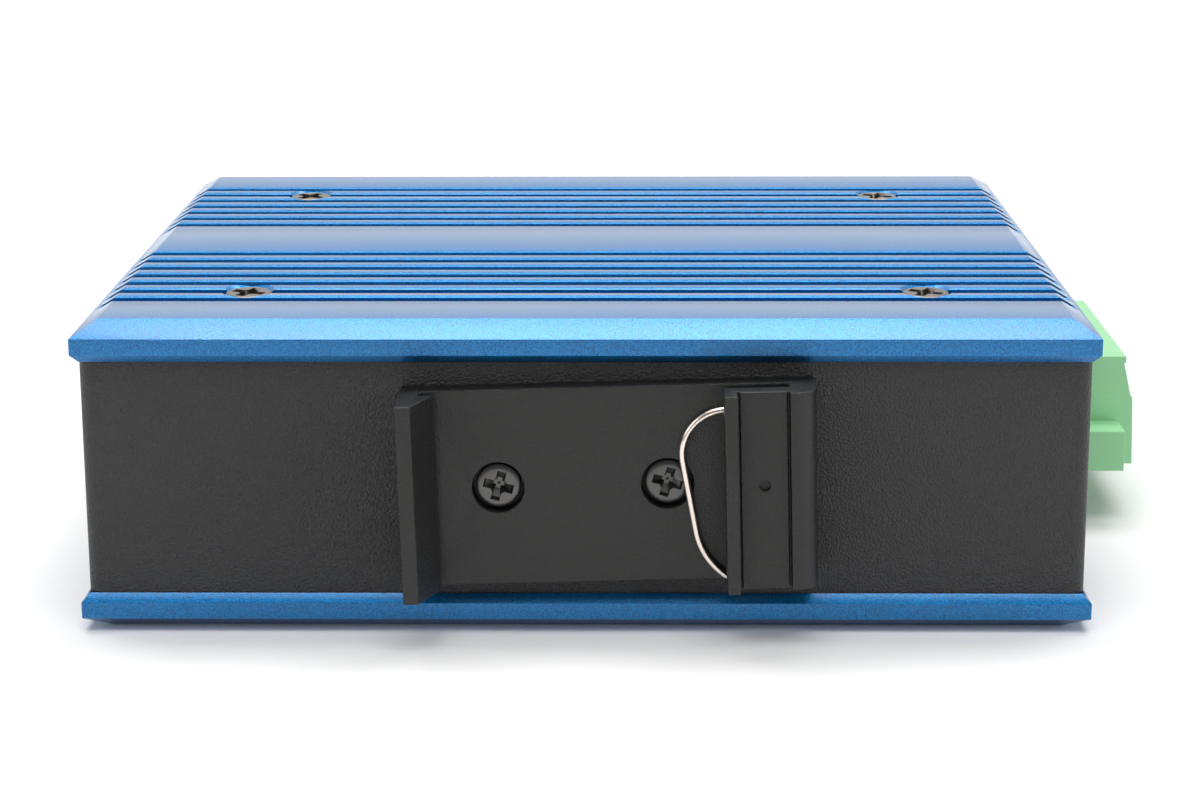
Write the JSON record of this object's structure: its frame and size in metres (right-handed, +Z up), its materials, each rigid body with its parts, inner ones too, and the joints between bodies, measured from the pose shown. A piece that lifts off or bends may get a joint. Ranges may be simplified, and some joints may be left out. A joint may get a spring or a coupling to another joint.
{
  "type": "DIN rail ethernet switch",
  "caption": "Compact network switch in a steel case between two grooved aluminium covers, with a rail clip on its back, network ports on its front and a pluggable screw terminal.",
  "frame": {"origin": "centre of the lower cover's outer face", "axes": "+Z up through the case to the upper cover, +X along the covers towards the screw terminal, -Y towards the rail clip"},
  "size_m": [0.128, 0.0978, 0.036],
  "materials": {
    "blue_anodised": "satin blue anodised",
    "black_anodised": "satin black anodised",
    "grey_paint": "fine matt powder coat",
    "black_steel": "black zinc plate",
    "bright_steel": "zinc plate",
    "spring_steel": "bright drawn wire",
    "plated_brass": "nickel and tin plated",
    "contact_gold": "gold plated",
    "board_laminate": "solder resist on glass laminate",
    "black_plastic": "moulded",
    "green_plastic": "moulded polyamide",
    "clear_plastic": "clear moulded",
    "thermal_rubber": "soft pad",
    "capacitor_sleeve": "sleeved can"
  },
  "bodies": {
    "root": {"upper_cover": "blue_anodised", "lower_cover": "blue_anodised", "housing_shell": "grey_paint", "front_panel": "grey_paint", "upper_cover_screws": "bright_steel", "lower_cover_screws": "bright_steel", "corner_standoffs": "plated_brass", "board_spacers": "plated_brass", "panel_screws": "black_steel", "din_clip": "black_anodised", "clip_screws": "black_steel", "clip_nuts": "bright_steel", "rail_spring": "spring_steel", "circuit_board": "board_laminate", "port_shield": "bright_steel", "port_housing": "black_plastic", "terminal_header": "green_plastic", "header_pins": "plated_brass", "flange_nuts": "bright_steel", "terminal_plug": "green_plastic", "plug_clamp_screws": "bright_steel", "plug_clamp_cages": "plated_brass", "plug_contacts": "plated_brass", "plug_flange_screws": "bright_steel", "switch_chip": "black_plastic", "thermal_pad": "thermal_rubber", "bulk_capacitor_1": "capacitor_sleeve", "bulk_capacitor_2": "capacitor_sleeve", "power_inductor": "black_plastic", "regulator_chip": "black_plastic", "crystal": "bright_steel", "alarm_relay": "black_plastic", "status_light_pipes": "clear_plastic", "status_leds": "clear_plastic", "earth_screw": "bright_steel", "earth_washer": "bright_steel", "earth_nut": "bright_steel", "port_contacts_1": "contact_gold", "port_lamps_1": "clear_plastic", "magnetics_1": "black_plastic", "port_contacts_2": "contact_gold", "port_lamps_2": "clear_plastic", "magnetics_2": "black_plastic", "port_contacts_3": "contact_gold", "port_lamps_3": "clear_plastic", "magnetics_3": "black_plastic", "port_contacts_4": "contact_gold", "port_lamps_4": "clear_plastic", "magnetics_4": "black_plastic", "port_contacts_5": "contact_gold", "port_lamps_5": "clear_plastic", "magnetics_5": "black_plastic"}
  },
  "joints": []
}
